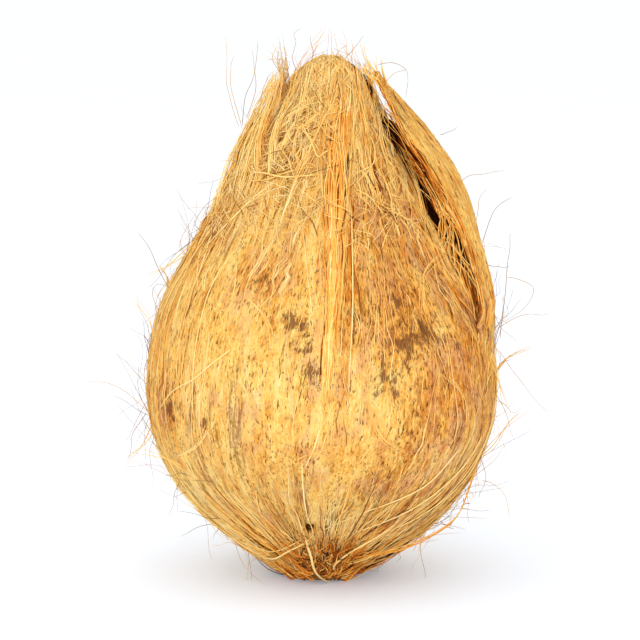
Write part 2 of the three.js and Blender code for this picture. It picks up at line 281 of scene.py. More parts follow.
# Sun-dried coir husk: matted straw-coloured fibre, felted smooth by handling. It reads as a fine grain
# along the fruit, mottled from straw to amber, with dark specks where the pith shows and grey mould stains.
def makeHuskMaterial():
    finish = {"Roughness": 0.8, "Specular IOR Level": 0.05}
    material, tree, shader = newMaterial("coir husk, sun-dried", finish)
    hues = {name: linear(value) for name, value in huskFinish["hues"].items()}
    combed = addNode(tree, "Attribute", {"attribute_name": "combed"}, output="Vector")
    mattedAndShade, pithAndShade, strapped = [addNode(tree, "Attribute", {"attribute_name": name}, output="Fac")
                                for name in ("mattedAndShade", "pithAndShade", "strapped")]
    place = addNode(tree, "TexCoord", output="Object")
    times = {"operation": "MULTIPLY"}
    mixed = {"data_type": "RGBA"}

    # Widths and lengths are in mm. Coir is 0.2 mm thick, and it is drawn twice as coarse so that it shows.
    fine = grain(tree, combed, 0.42, 1.3, 2)
    streak = grain(tree, combed, 0.9, 7, 4, 0.6)  # a few fibres that stick together
    band = grain(tree, combed, 3.2, 26, 3)  # the ribs of the husk
    mottle = grain(tree, combed, 3.4, 6, 4, 0.62)
    patch = grain(tree, combed, 15, 30, 3)
    # the warm spots add orange and flecks, and lower the tone as painted shade
    warmAndShaded = between(tree, [(closeness(tree, place, huskFinish["warmAndShadedSpots"]), 1)], -0.35, 0.6)
    # strapped also lightens the tone of the lower part, which faces down: painted light
    tone = addUp(tree, [
        (fine, 0.15), (streak, 0.11), (band, 0.09), (mottle, 0.1), (patch, 0.08), (warmAndShaded, -0.13),
        (strapped, 0.2)], 0.63)
    pinkish = between(tree, [
        (grain(tree, combed, 9, 17, 4, 0.65), 1), (fine, 0.25), (warmAndShaded, 0.55)], 0.05, 0.95, 0, 0.62)
    orange = between(tree, [
        (grain(tree, combed, 5, 16, 4, 0.65), 1), (streak, 0.3), (warmAndShaded, 0.3)], 0.35, 1.25, 0, 0.65)

    # pith between the fibres: brown flecks and short dark dashes that lie along them
    fleck = between(tree, [
        (grain(tree, combed, 0.95, 2.4, 3, 0.6), 1), (patch, -0.3), (warmAndShaded, 0.38),
        (fine, 0.25)], 0.2, 0.95, 0, 0.62)
    speck = between(tree, [
        (grain(tree, combed, 0.6, 1.9, 2), 1), (mottle, -0.3), (warmAndShaded, 0.24), (band, 0.1),
        (grain(tree, combed, 5, 10, 2), 0.22), (strapped, -0.35)], 0.56, 0.98, 0, 0.76)

    # mould: clusters of ragged grey-brown blotches
    mould = between(tree, [
        (closeness(tree, place, huskFinish["mouldSpots"]), 1), (grain(tree, combed, 2.4, 4.2, 4, 0.7), 0.68),
        (fine, 0.24), (streak, 0.12)], 0.46, 1.0, 0, 0.86)

    # towards the pointed end the fibre parts into flat straps, with dark cracks between them; the straps'
    # pale colour is partly painted light on this downward-facing part
    edges = addUp(tree, [(grain(tree, combed, 4.6, 70, 3), 1), (band, 0.3)])
    edges = addNode(tree, "Math", {"operation": "ABSOLUTE"}, {0: edges})
    crack = between(tree, [(edges, 1), (streak, 0.12), (fine, 0.08), (mottle, 0.12)], 0.0, 0.18, 0.9, 0)
    opened = between(tree, [(grain(tree, combed, 9, 34, 2), 1)], 0, 0.8, 0, 0.55)
    opened = addNode(tree, "Math", {"operation": "MAXIMUM"}, {0: strapped, 1: opened})
    crack = addNode(tree, "Math", times, {0: crack, 1: opened})
    strap = between(tree, [
        (grain(tree, combed, 2.2, 40, 3), 1), (mottle, 0.4), (patch, 0.3)], 0.1, 1, 0, 0.55)
    strap = addNode(tree, "Math", times, {0: strap, 1: strapped})

    # torn places: matted amber fibre, rust-brown at the pointed end, and dark pith with paler strands in it
    # the amber is also painted shade under the neck's shag and in the groove beside the seam
    rust = between(tree, [(mattedAndShade, 1)], 0.76, 0.95)
    rusty = addNode(tree, "Mix", mixed, {0: rust, 6: hues["mattedAndShade"], 7: hues["rust"]}, output=2)
    strand = between(tree, [(streak, 0.7), (fine, 0.35), (band, 0.4)], -0.3, 1, 0, 0.9)
    strand = addNode(tree, "Math", times, {0: strand, 1: between(tree, [(pithAndShade, 1)], 0.74, 0.93, 1, 0)})
    pith = addNode(tree, "Mix", mixed, {0: strand, 6: hues["pithAndShade"], 7: hues["torn"]}, output=2)
    under = between(tree, [(mattedAndShade, 1), (streak, 0.35), (mottle, 0.25)], 0.3, 1.3, 0, 0.75)
    # the near-black pith is also painted shade in the split and in the holes and gaps of the torn end
    torn = between(tree, [(pithAndShade, 1), (streak, 0.14), (mottle, 0.1), (fine, 0.08)], 0.3, 0.62, 0, 0.95)

    colour = addNode(tree, "ValToRGB", None, {"Fac": tone}, huskFinish["tones"])
    layers = [
        (pinkish, hues["pinkish"]), (orange, hues["orange"]), (fleck, hues["fleck"]), (speck, hues["speck"]),
        (mould, hues["mould"]), (strap, hues["strap"]), (crack, hues["crack"]), (under, rusty), (torn, pith),
    ]
    for share, over in layers:
        colour = addNode(tree, "Mix", mixed, {0: share, 6: colour, 7: over}, output=2)
    tree.links.new(colour, shader.inputs["Base Color"])
    height = addUp(tree, [
        (fine, 0.45), (streak, 0.55), (mottle, 0.3), (band, 0.4), (speck, -0.66), (crack, -1.4)])
    relief = addNode(tree, "Bump", None, {"Height": height, "Distance": 0.5 * mm, "Strength": 0.8})
    tree.links.new(relief, shader.inputs["Normal"])
    return material


fibreFinish = {
    "hairs": [(0, "#3A2A1A"), (1, "#F8DFA4"), (0.3, "#94693C"), (0.55, "#C89C60"), (0.8, "#ECC27E")],
    "shades": [
        (0, "#3E1A05"), (1, "#FFE6A6"), (0.16, "#94450F"), (0.34, "#DA7D22"), (0.55, "#F6B350"),
        (0.74, "#FFD47A"),
    ],
    # painted shade: fibres in these spots, on the neck's shaded right, turn a darker orange
    "warmAndShadedSpots": [(-52, 176, 26), (-40, 160, 22), (-62, 150, 20), (-48, 124, 26), (-40, 100, 24)],
}


# Loose coir: stiff round fibres, dried to straw. Each has its own shade, carried by the attribute.
def makeFibreMaterial(name, shades):
    material, tree, shader = newMaterial(name, {"Roughness": 0.7, "Specular IOR Level": 0.06})
    shade = addNode(tree, "Attribute", {"attribute_name": "shade"}, output="Fac")
    place = addNode(tree, "TexCoord", output="Object")
    # painted shade: the warm spots darken the fibres towards orange
    warmAndShaded = between(tree, [(closeness(tree, place, fibreFinish["warmAndShadedSpots"]), 1)], -0.3, 0.6)
    shade = addUp(tree, [
        (grain(tree, place, 7 * mm, 7 * mm), 0.08), (grain(tree, place, mm, mm), 0.05),
        (warmAndShaded, -0.09)], shade)
    colour = addNode(tree, "ValToRGB", None, {"Fac": shade}, shades)
    tree.links.new(colour, shader.inputs["Base Color"])
    return material


huskMaterial = makeHuskMaterial()
fibreMaterial = makeFibreMaterial("coir fibre, loose", fibreFinish["shades"])
hairMaterial = makeFibreMaterial("coir hair, weathered", fibreFinish["hairs"])
print("materials made")


# tools for the pieces
def selectOnly(piece):
    bpy.ops.object.select_all(action="DESELECT")
    piece.select_set(True)
    bpy.context.view_layer.objects.active = piece


def startFrom(addPrimitive, name, **sizes):  # a new primitive, with nothing else selected
    bpy.ops.object.select_all(action="DESELECT")
    addPrimitive(**sizes)
    bpy.context.object.name = name
    return bpy.context.object


def getPlaces(mesh):
    places = np.empty(len(mesh.vertices) * 3, dtype=np.float32)
    mesh.vertices.foreach_get("co", places)
    return places.reshape(-1, 3).astype(float)


def setPlaces(mesh, places):  # in mm
    mesh.vertices.foreach_set("co", (places * mm).astype(np.float32).ravel())


def setAttribute(mesh, name, values, kind="FLOAT"):
    attribute = mesh.attributes.new(name, kind, "POINT")
    field = "vector" if kind == "FLOAT_VECTOR" else "value"
    attribute.data.foreach_set(field, np.ascontiguousarray(values, dtype=np.float32).ravel())


def addPiece(piece, material, replaces=False):
    piece.data.materials.clear()
    piece.data.materials.append(material)
    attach(piece, "root")
    if replaces:
        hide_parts("coconut")


# the body of the husk
bodyForm = {
    "columns": 480,
    "rings": 198,
    "reliefs": [  # width and depth in mm, and how much longer along the fibre
        (11.0, 0.6, 4), (3.2, 0.32, 9), (1.5, 0.22, 7), (1.0, 0.12, 2.5),
    ],
    "shag": (1.8, 0.7, 8),  # the same, over the neck alone
    "straps": (4.2, 0.6, 14),  # and over the lower part, where flat straps run down to the pointed end
    "hollows": [  # angle, way along the husk, width and depth of each hole in the torn pointed end
        (-97, 36, 2, 1.6), (-138, 23, 2.6, 2.6), (-46, 15, 4.4, 3.6), (-84, 18, 1.8, 1.8), (60, 18, 3.5, 2),
        (-94, 16.5, 2.4, 2.4), (-130, 12, 2.4, 2), (-40, 28, 2.4, 1.8), (-66, 24, 1.8, 1.6),
    ],
}


def ripple(points, width, length, seed):  # noise at each point, -1 to 1, its length along the fibre
    shrunk = points / [width, width, length] + [seed, 0, 0]
    return np.array([noise.noise(Vector(p)) for p in shrunk])


def reliefOf(rows, combed, shift=0.0):  # ripples of each width, depth and length, added up
    return sum(depth * ripple(combed, width, width * longer, width + shift) for width, depth, longer in rows)


def combedPlaces(degrees, arc):  # the husk as a straight cylinder, so that patterns follow the fibre
    angle = np.radians(degrees)
    widest = max(radius for radius, _ in husk["outline"])
    return np.stack([widest * np.cos(angle), widest * np.sin(angle), arc], axis=-1)


def strapShare(degrees, arc):  # 1 near the pointed end, 0 over the felted round end
    high = 58 + 26 * bump(turn(degrees, -38), 26) + 12 * bump(turn(degrees, -150), 25)
    return 1 - smoothstep(arc, high - 40, high + 22)


def tornShare(degrees, s):  # 1 on the brown face that the tongue tore away from
    upper = smoothstep(s, 134, 141) * bump(np.maximum(0, np.abs(turn(degrees, 4)) - 24), 11)
    return np.maximum(np.clip(splitShare(degrees, s) * 1.3, 0, 1), 0.9 * upper)


def shagShare(degrees, s):  # 1 over the shaggy neck, 0 over the felted round end
    low = 133 - 15 * bump(turn(degrees, -55), 28)
    return smoothstep(s, low - 14, low + 12)


def makeBody():
    form = bodyForm
    body = startFrom(bpy.ops.mesh.primitive_uv_sphere_add, "huskBody",
                     segments=form["columns"], ring_count=form["rings"], radius=1)
    ball = getPlaces(body.data)
    degrees = np.degrees(np.arctan2(ball[:, 1], ball[:, 0]))
    arc = np.arccos(np.clip(-ball[:, 2], -1, 1)) / math.pi * arcLength
    s = coreAt(arc)
    radius = radiusAt(arc)
    combed = combedPlaces(degrees, arc)
    shaggy = shagShare(degrees, s)
    lift = reliefOf(form["reliefs"], combed)
    width, depth, longer = form["shag"]
    lift += shaggy * depth * ripple(combed, width, width * longer, 9)
    width, depth, longer = form["straps"]
    strapped = strapShare(degrees, arc)
    lift += strapped * depth * ripple(combed, width, width * longer, 5)
    lift *= np.minimum(1, radius / husk["tipRadius"])
    flat = skin(degrees, arc) + setDown
    holes = 0.4 * (1 - smoothstep(arc, 12, 27)) * smoothstep(arc, 1, 6)  # painted shade: dark gaps all through the torn end
    for at, way, wide, deep in form["hollows"]:
        away = np.linalg.norm((flat - skin(at, way) - setDown) * [1, 1, 0.7], axis=-1)
        hole = bump(away * (1 + 0.6 * ripple(flat, 1.7, 3, at)), wide)
        lift -= deep * hole
        holes = np.maximum(holes, hole)
    places = onHusk(degrees, arc, lift)
    places[:, 2] = np.maximum(places[:, 2], 0)  # the flat spot
    setPlaces(body.data, places)
    # painted shade: the torn face is darkest at its front, deep in the split, and lighter brown towards the
    # back
    torn = tornShare(degrees, s) * (1 - 0.24 * smoothstep(turn(degrees, 4), -20, 22))
    across = np.radians(turn(degrees, husk["seamAngle"])) * radius / husk["seamWidth"]
    groove = bump(across - 1.9, 0.75) * smoothstep(s, 92, 108) * (1 - smoothstep(s, 132, 140))
    knot = 1 - smoothstep(arc, 14, 34)
    setAttribute(body.data, "combed", combed, "FLOAT_VECTOR")
    # painted shade darkens the skin under the neck's shag and in the groove beside the seam; at the pointed
    # end the fibre is matted rust
    setAttribute(body.data, "mattedAndShade", 0.32 * shaggy + 0.75 * groove + 0.95 * knot)
    setAttribute(body.data, "strapped", strapped)
    setAttribute(body.data, "pithAndShade", np.clip(np.maximum(torn, holes), 0, 0.97))
    selectOnly(body)
    bpy.ops.object.shade_smooth()
    addPiece(body, huskMaterial, replaces=True)


makeBody()
print("husk body made")

# the tongue of husk that has split away
tongueForm = {
    "rows": [  # outer radius, height along the core line, front edge angle, back edge angle
        (54.4, 80, -23, 44), (54.8, 91, -24, 42), (52.6, 102, -24.5, 38), (49.3, 112.5, -24.5, 33),
        (45.2, 124.5, -29.5, 27), (39.6, 136.5, -34, 18), (32.8, 146, -37, 8), (25, 154, -37, -6),
        (18.4, 160.5, -33, -16), (15.4, 165, -30, -20),
    ],
    "thickness": 2.6,
    "across": 80,
    "along": 170,
    "ragged": (2.4, 0.05),  # length in mm and share of the width of the notches in its edges
}


def tonguePlace(across, up, lift=0.0):  # across from -0.5 to 0.5, up from 0 to 1, lift in mm
    across, up, lift = np.broadcast_arrays(across, up, lift)
    row = catmull(tongueForm["rows"], up)
    degrees = row[..., 2] + (row[..., 3] - row[..., 2]) * (across + 0.5)
    rise = arch(np.clip(up, 0, 1))
    crown = 1.1 * (1 - (2 * across) ** 2) * rise
    flute = 0.45 * np.sin(across * 21 + 2 * up) * rise
    place = around(row[..., 0] + crown + flute + lift, degrees, row[..., 1])
    own = smoothstep(up, 0, 0.12)[..., None]  # it leaves the husk at its lower end, starting under the skin
    under = skin(2 * degrees - drifted(degrees, row[..., 1]), arcAt(row[..., 1]), lift - 0.6)
    return place * own + under * (1 - own) + setDown


def makeTongue():
    form = tongueForm
    tongue = startFrom(bpy.ops.mesh.primitive_grid_add, "huskTongue",
                       x_subdivisions=form["across"], y_subdivisions=form["along"], size=1)
    flat = getPlaces(tongue.data)
    across = flat[:, 0]
    up = flat[:, 1] + 0.5
    combed = np.stack([across * 50, up * 8, up * 90], axis=-1)
    notch, share = form["ragged"]
    edge = np.stack([np.sign(across) * 9, across * 0, up * 90], axis=-1)
    notches = (ripple(edge, notch, notch, 2) - 0.4) * smoothstep(np.abs(across), 0.38, 0.5)
    across = across * (1 + share * notches)
    setPlaces(tongue.data, tonguePlace(across, up, reliefOf(bodyForm["reliefs"], combed, 3)))
    cracks = bump((across + 0.2 - 0.25 * up) * 50, 0.7) * smoothstep(up, 0.62, 0.72)
    frayed = 0.8 * bump((across + 0.43) * 50, 1.1) * smoothstep(ripple(combed, 2, 9, 4), -0.1, 0.3)
    setAttribute(tongue.data, "combed", combed, "FLOAT_VECTOR")
    setAttribute(tongue.data, "pithAndShade", np.maximum(cracks, frayed))
    thickness = (1 - 0.55 * up) * (1 - 0.5 * (2 * across) ** 2)
    group = tongue.vertex_groups.new(name="thickness")
    for i, share in enumerate(thickness):
        group.add([i], float(share), "REPLACE")
    selectOnly(tongue)
    wall = tongue.modifiers.new("wall", "SOLIDIFY")
    wall.thickness = form["thickness"] * mm
    wall.offset = -1
    wall.vertex_group = "thickness"
    bpy.ops.object.modifier_apply(modifier="wall")
    bpy.ops.object.shade_smooth()
    addPiece(tongue, huskMaterial, replaces=True)


makeTongue()
print("tongue made")

# loose fibres
fibreForm = {"sides": 3, "floorGap": 0.15, "mergedWithin": 0.002, "narrowest": 7}  # lengths in mm

fibreSection = startFrom(bpy.ops.curve.primitive_bezier_circle_add, "fibreSection", radius=1)
fibreSection.data.splines.clear()
sectionLine = fibreSection.data.splines.new("POLY")
sectionLine.points.add(fibreForm["sides"] - 1)
sectionLine.use_cyclic_u = True
for i, corner in enumerate(sectionLine.points):
    angle = i * 2 * math.pi / fibreForm["sides"]
    corner.co = (math.cos(angle), math.sin(angle), 0, 1)


def makeFibres(name, groups, replaces=False, material=fibreMaterial):
    # each group: paths (fibre, point, xyz) and radii (fibre, point) in mm, and a shade for each fibre
    curve = bpy.data.curves.new(name, "CURVE")
    curve.dimensions = "3D"
    curve.bevel_mode = "OBJECT"
    curve.bevel_object = fibreSection
    shadeRuns = []
    count = 0
    for paths, radii, shades in groups:
        paths = paths.copy()
        paths[..., 2] = np.maximum(paths[..., 2], fibreForm["floorGap"])
        points = paths.shape[1]
        places = np.concatenate([paths * mm, np.ones((*paths.shape[:2], 1))], axis=-1).astype(np.float32)
        radii = (np.broadcast_to(radii, paths.shape[:2]) * mm).astype(np.float32)
        radii[:, [0, -1]] = 0  # both ends close to a point
        for i in range(len(paths)):
            line = curve.splines.new("POLY")
            line.points.add(points - 1)
            line.points.foreach_set("co", places[i].ravel())
            line.points.foreach_set("radius", np.ascontiguousarray(radii[i]))
        shadeRuns.append(np.repeat(np.broadcast_to(shades, len(paths)), points * fibreForm["sides"]))
        count += len(paths)
    piece = bpy.data.objects.new(name, curve)
    bpy.context.collection.objects.link(piece)
    selectOnly(piece)
    bpy.ops.object.convert(target="MESH")
    piece = bpy.context.object
    setAttribute(piece.data, "shade", np.concatenate(shadeRuns))
    bpy.ops.object.mode_set(mode="EDIT")
    bpy.ops.mesh.select_all(action="SELECT")
    bpy.ops.mesh.remove_doubles(threshold=fibreForm["mergedWithin"] * mm)
    bpy.ops.object.mode_set(mode="OBJECT")
    bpy.ops.object.shade_smooth()
    addPiece(piece, material, replaces)
    print(name, count, "fibres", sum(len(p.vertices) - 2 for p in piece.data.polygons), "triangles")


def column(values):
    return np.asarray(values)[:, None]


def along(points):
    return np.linspace(0, 1, points)


def taper(root, tip, points, power=1.5):  # the radius along each fibre
    return column(root) + (tip - column(root)) * along(points) ** power


def sway(rng, count, points, size):  # a slow wave for each fibre, none at its root
    t = along(points)
    total = 0
    for waves in (0.7, 1.4, 2.6):
        phase = rng.uniform(0, 6.3, (count, 1))
        total = total + rng.normal(0, size / waves, (count, 1)) * np.sin(phase + 2 * math.pi * waves * t)
    return total * np.sqrt(t)


def lay(degrees, start, length, sweep, lift, aside=0.0):
    # fibres over the husk: each starts at an angle and a way along the husk, runs up it for its length and
    # moves sideways by sweep for each mm of it; lift is (fibre, point) and aside the same, sideways, in mm
    t = along(lift.shape[1])
    arc = column(start) + column(length) * t
    radius = np.maximum(radiusAt(arc), fibreForm["narrowest"])
    sideways = column(sweep * length) * t + aside
    return onHusk(column(degrees) + np.degrees(sideways / radius), arc, lift)


def spread(rng, paths, each, width, root=0.35):  # every path becomes a bundle of fibres that part on the way
    t = along(paths.shape[1])[:, None]
    aside = rng.normal(0, width, (len(paths), each, 1, 3))
    swing = rng.normal(0, width, (len(paths), each, 1, 3))
    parted = aside * (root + (1 - root) * t) + swing * np.sin(math.pi * 1.6 * t) * 0.6
    return (paths[:, None] + parted).reshape(-1, paths.shape[1], 3)


def shadesOf(rng, count, middle, width, dark=0.0):  # shades round a middle one, with a share of dark fibres
    shades = rng.normal(middle, width, count)
    return np.clip(np.where(rng.random(count) < dark, rng.uniform(0.06, 0.3, count), shades), 0.03, 1)


def smoothLine(places, points):  # a smooth line through a few places
    return catmull(places, along(points))


def onLine(rows, points, lift):  # a smooth line over the husk through angles and ways along it
    line = catmull(rows, along(points))
    return onHusk(line[:, 0], line[:, 1], lift)


def sound(degrees, arc):  # false under the tongue, where the husk is split open
    return tornShare(degrees, coreAt(arc)) < 0.12


coreSteps = np.linspace(0, husk["outline"][-1][1], 60)
coreLine = around(0 * coreSteps, 0, coreSteps) + setDown


def offTorn(paths):  # true for the fibres that keep off the brown face the tongue tore away from
    s = np.interp(paths[..., 2], coreLine[:, 2], coreSteps)
    back = paths[..., 1] - np.interp(s, coreSteps, coreLine[:, 1])
    aside = paths[..., 0] - np.interp(s, coreSteps, coreLine[:, 0])
    return tornShare(np.degrees(np.arctan2(back, aside)), s).max(axis=1) < 0.4


feltForm = {
    "count": 3000,
    "points": 7,
    "length": (4, 22),
    "radius": (0.08, 0.15),
    "shade": (0.68, 0.13, 0.06),  # the middle one, how far they vary, and the share of dark fibres
    "seed": 3,
}


def makeFelt():  # fine fibres felted into the skin, with some of their ends just free
    form = feltForm
    rng = np.random.default_rng(form["seed"])
    t = along(form["points"])
    degrees = rng.uniform(-180, 180, form["count"])
    start = rng.uniform(8, arcLength - 34, form["count"])
    kept = sound(degrees, start)
    degrees, start = degrees[kept], start[kept]
    n = len(start)
    length = rng.uniform(*form["length"], n)
    sweep = rng.normal(0, 0.12, n) + np.where(rng.random(n) < 0.1, rng.normal(0, 0.6, n), 0)
    free = np.where(rng.random(n) < 0.2, rng.uniform(0.3, 1.5, n), 0.03)
    lift = 0.22 * arch(t) - 0.04 + column(free) * t**3 - 0.3 * (1 - t) ** 4
    paths = lay(degrees, start, length, sweep, lift, sway(rng, n, form["points"], 0.35))
    radii = taper(rng.uniform(*form["radius"], n), 0.07, form["points"], 3)
    makeFibres("felt", [(paths, radii, shadesOf(rng, n, *form["shade"]))])


makeFelt()

neckForm = {
    "bundles": 1500,
    "each": 5,
    "points": 7,
    "start": (126, 204),
    "length": (8, 28),
    "radius": (0.12, 0.26),
    "shade": (0.84, 0.1, 0.03),
    "crossing": {"count": 620, "start": (144, 200), "radius": (0.09, 0.18), "shade": (0.82, 0.09, 0.06)},
    "shadeGaps": {"count": 70, "start": (140, 204), "radius": (0.12, 0.24), "shades": (0.12, 0.32)},
    "sides": (-215, -38),  # the angles between which fibres cross it and short dark fibres paint the shade in its gaps
    "seed": 7,
}


def makeNeck():  # the shag over the neck: flat bundles that lie up it, single fibres across them, and short dark fibres as painted shade in its gaps
    form = neckForm
    rng = np.random.default_rng(form["seed"])
    points = form["points"]
    t = along(points)
    degrees = rng.uniform(-180, 180, form["bundles"])
    start = rng.uniform(*form["start"], form["bundles"])
    s = coreAt(start)
    kept = (rng.random(form["bundles"]) < 0.12 + shagShare(degrees, s)) & sound(degrees, start)
    degrees, start, s = degrees[kept], start[kept], s[kept]
    n = len(start)
    length = np.clip(rng.uniform(*form["length"], n), 5, arcLength - 2 - start)
    sweep = rng.normal(0, 0.22, n)
    high = (0.15 + 1.3 * rng.random(n) ** 2) * (0.25 + 0.75 * shagShare(degrees, s))
    lift = column(high) * arch(np.minimum(t * 1.25, 0.82)) - 0.35 * (1 - t) ** 3
    paths = lay(degrees, start, length, sweep, lift, sway(rng, n, points, 1.0))
    kept = offTorn(paths)
    paths = paths[kept]
    n = len(paths)
    patch = ripple(paths[:, 3], 7, 12, 3)
    paths = spread(rng, paths, form["each"], 0.42)
    radii = taper(rng.uniform(*form["radius"], len(paths)), 0.08, points)
    radii = radii * (0.3 + 0.7 * smoothstep(t, 0, 0.3))  # thin roots sink into the skin
    # painted shade: fibres that lie low are darker, those raised high paler
    shades = shadesOf(rng, n, *form["shade"]) + 0.13 * patch + 0.06 * lift.max(axis=1)[kept]
    shades = np.repeat(shades, form["each"])
    shades = np.clip(shades + rng.normal(0, 0.07, len(paths)), 0.04, 0.88)

    crossing = form["crossing"]
    m = crossing["count"]
    start = rng.uniform(*crossing["start"], m)
    length = np.minimum(3 + 15 * rng.random(m) ** 2.5, arcLength - 6 - start)
    sweep = rng.choice([-1, 1], m) * rng.uniform(0.2, 1.8, m)
    lift = rng.uniform(0.5, 2.0, (m, 1)) * np.sin(math.pi * (0.04 + 0.9 * along(10)))
    across = lay(rng.uniform(*form["sides"], m), start, length, sweep, lift, sway(rng, m, 10, 1.3))
    kept = offTorn(across) | (rng.random(m) < 0.3)
    across = across[kept]
    m = len(across)
    thin = taper(rng.uniform(*crossing["radius"], m), 0.07, 10)

    # short dark fibres over the shag, as painted shade in its gaps
    gap = form["shadeGaps"]
    g = gap["count"]
    start = rng.uniform(*gap["start"], g)
    lift = rng.uniform(0.1, 1.1, (g, 1)) * np.ones(5)
    shadeGaps = lay(rng.uniform(*form["sides"], g), start, rng.uniform(1.5, 6, g), rng.normal(0, 0.4, g), lift)
    makeFibres("neckShag", [
        (paths, radii, shades),
        (across, thin, shadesOf(rng, m, *crossing["shade"])),
        (shadeGaps, rng.uniform(*gap["radius"], (g, 1)), rng.uniform(*gap["shades"], g)),
    ], replaces=True)


makeNeck()

crownForm = {
    "cap": {"count": 760, "radius": (0.12, 0.28), "shade": (0.8, 0.1, 0.04)},
    "over": {"count": 90, "radius": 0.2, "shade": (0.74, 0.1)},
    "wisps": {"count": 40, "radius": (0.08, 0.13), "shade": (0.5, 0.1)},
    "seed": 11,
}


def makeCrown():  # the blunt, ragged top: torn ends that lie over it, and thin wisps above
    form = crownForm
    rng = np.random.default_rng(form["seed"])
    n = form["cap"]["count"]
    t = along(7)
    start = arcLength - rng.uniform(4, 36, n)
    length = np.minimum(rng.uniform(7, 20, n), arcLength - rng.uniform(1, 9, n) - start)
    lift = rng.uniform(-0.2, 0.6, (n, 1)) * np.sqrt(t) + rng.uniform(0, 1, (n, 1)) ** 4 * 2.0 * t**2
    cap = lay(rng.uniform(-180, 180, n), start, length, rng.normal(0, 0.12, n), lift, sway(rng, n, 7, 0.4))
    cap = cap[offTorn(cap)]
    n = len(cap)
    radii = taper(rng.uniform(*form["cap"]["radius"], n), 0.09, 7)

    k = form["over"]["count"]  # short fibres across the very top
    across = rng.uniform(-7, -2, (k, 1)) + rng.uniform(5, 11, (k, 1)) * t
    off = rng.uniform(-3.5, 3.5, (k, 1)) + sway(rng, k, 7, 0.4)
    degrees = rng.uniform(-180, 180, (k, 1)) + np.degrees(np.arctan2(off, across))
    over = onHusk(degrees, arcLength - np.hypot(off, across), rng.uniform(0.1, 0.8, (k, 1)) * arch(t))

    m = form["wisps"]["count"]
    t = along(10)
    start = arcLength - rng.uniform(8, 32, m)
    length = np.minimum(rng.uniform(9, 20, m), arcLength - 1 - start)
    degrees = rng.uniform(-180, 180, m)
    wisps = lay(degrees, start, length, rng.normal(0, 0.4, m), rng.uniform(1, 6, (m, 1)) * t**1.5)
    wisps[..., 2] += rng.uniform(0, 7, (m, 1)) * t**2
    wisps = wisps + rng.normal(0, 0.9, (m, 1, 3)) * np.sin(math.pi * 1.5 * t)[:, None]
    thin = taper(rng.uniform(*form["wisps"]["radius"], m), 0.06, 10)
    makeFibres("crown", [
        (cap, radii, shadesOf(rng, n, *form["cap"]["shade"])),
        (over, form["over"]["radius"], shadesOf(rng, k, *form["over"]["shade"])),
        (wisps, thin, shadesOf(rng, m, *form["wisps"]["shade"])),
    ])


makeCrown()

seamForm = {
    "cord": {"count": 170, "radius": (0.17, 0.34), "shade": (0.62, 0.11, 0.14)},
    "groove": {"count": 80, "radius": 0.17, "shade": (0.38, 0.14)},
    "seed": 13,
}


def makeSeam():  # the pale cord of long fibres up the front, and darker fibres in the groove beside it as painted shade
    form = seamForm
    rng = np.random.default_rng(form["seed"])
    n = form["cord"]["count"]
    t = along(14)
    start = 168 - 74 * rng.random(n) ** 1.5
    length = np.minimum(rng.uniform(24, 70, n), 206 - start - 12 * rng.random(n))
    offset = rng.normal(-0.3, 1.25, n)
    arc = column(start) + column(length) * t
    wide = radiusAt(arc)
    high = 0.7 * smoothstep(arc, 112, 150) + 0.9 * smoothstep(arc, 150, 172)
    lift = rng.uniform(0.15, 1.0, (n, 1)) * high * arch(t, 0.06) + 0.12
    aside = column(offset) * (1 + 0.8 * smoothstep(arc, 178, 200)) + sway(rng, n, 14, 0.5)
    cord = onHusk(husk["seamAngle"] + np.degrees(aside / wide), arc, lift)
    radii = taper(rng.uniform(*form["cord"]["radius"], n), 0.1, 14, 3)

    # painted shade: the groove's fibres are darker than the cord
    m = form["groove"]["count"]
    t = along(9)
    start = rng.uniform(122, 164, m)
    arc = column(start) + rng.uniform(6, 20, (m, 1)) * t
    wide = radiusAt(arc)
    aside = rng.normal(1.95 * husk["seamWidth"], 0.7, (m, 1)) + sway(rng, m, 9, 0.4)
    groove = onHusk(husk["seamAngle"] + np.degrees(aside / wide), arc, 0.25 * arch(t))
    makeFibres("seamCord", [
        (cord, radii, shadesOf(rng, n, *form["cord"]["shade"])),
        (groove, form["groove"]["radius"], shadesOf(rng, m, *form["groove"]["shade"])),
    ])


makeSeam()

splitForm = {
    "edge": {"count": 90, "radius": (0.12, 0.24), "shade": (0.6, 0.16, 0.2)},
    "root": {"count": 240, "radius": 0.13, "shade": (0.66, 0.12, 0.06)},
    "frayed": {"count": 80, "radius": (0.12, 0.3), "shade": (0.5, 0.18, 0.2)},
    "shadeLining": {"count": 280, "radius": 0.34, "shades": (0, 0.06)},
    "crossing": {"count": 26, "radius": (0.1, 0.2), "shade": (0.7, 0.15, 0.1)},
    "wall": {"count": 30, "radius": 0.17, "shade": (0.42, 0.14, 0.2)},
    "lower": {"count": 44, "radius": 0.13, "shade": (0.75, 0.15, 0.15)},
    "seed": 17,
}


def inSplit(share, up, lift):  # from the tongue's front edge, share 0, to the split's wall, share 1
    edge = tonguePlace(-0.5, up)
    s = catmull(tongueForm["rows"], up)[..., 1]
    wall = onHusk(husk["splitAngle"] - 2.5, arcAt(s))
    outwardsAngle = math.radians(husk["splitAngle"])
    out = np.array([math.cos(outwardsAngle), math.sin(outwardsAngle), 0.25])
    share = np.asarray(share)[..., None]
    return edge * (1 - share) + wall * share + np.asarray(lift)[..., None] * out


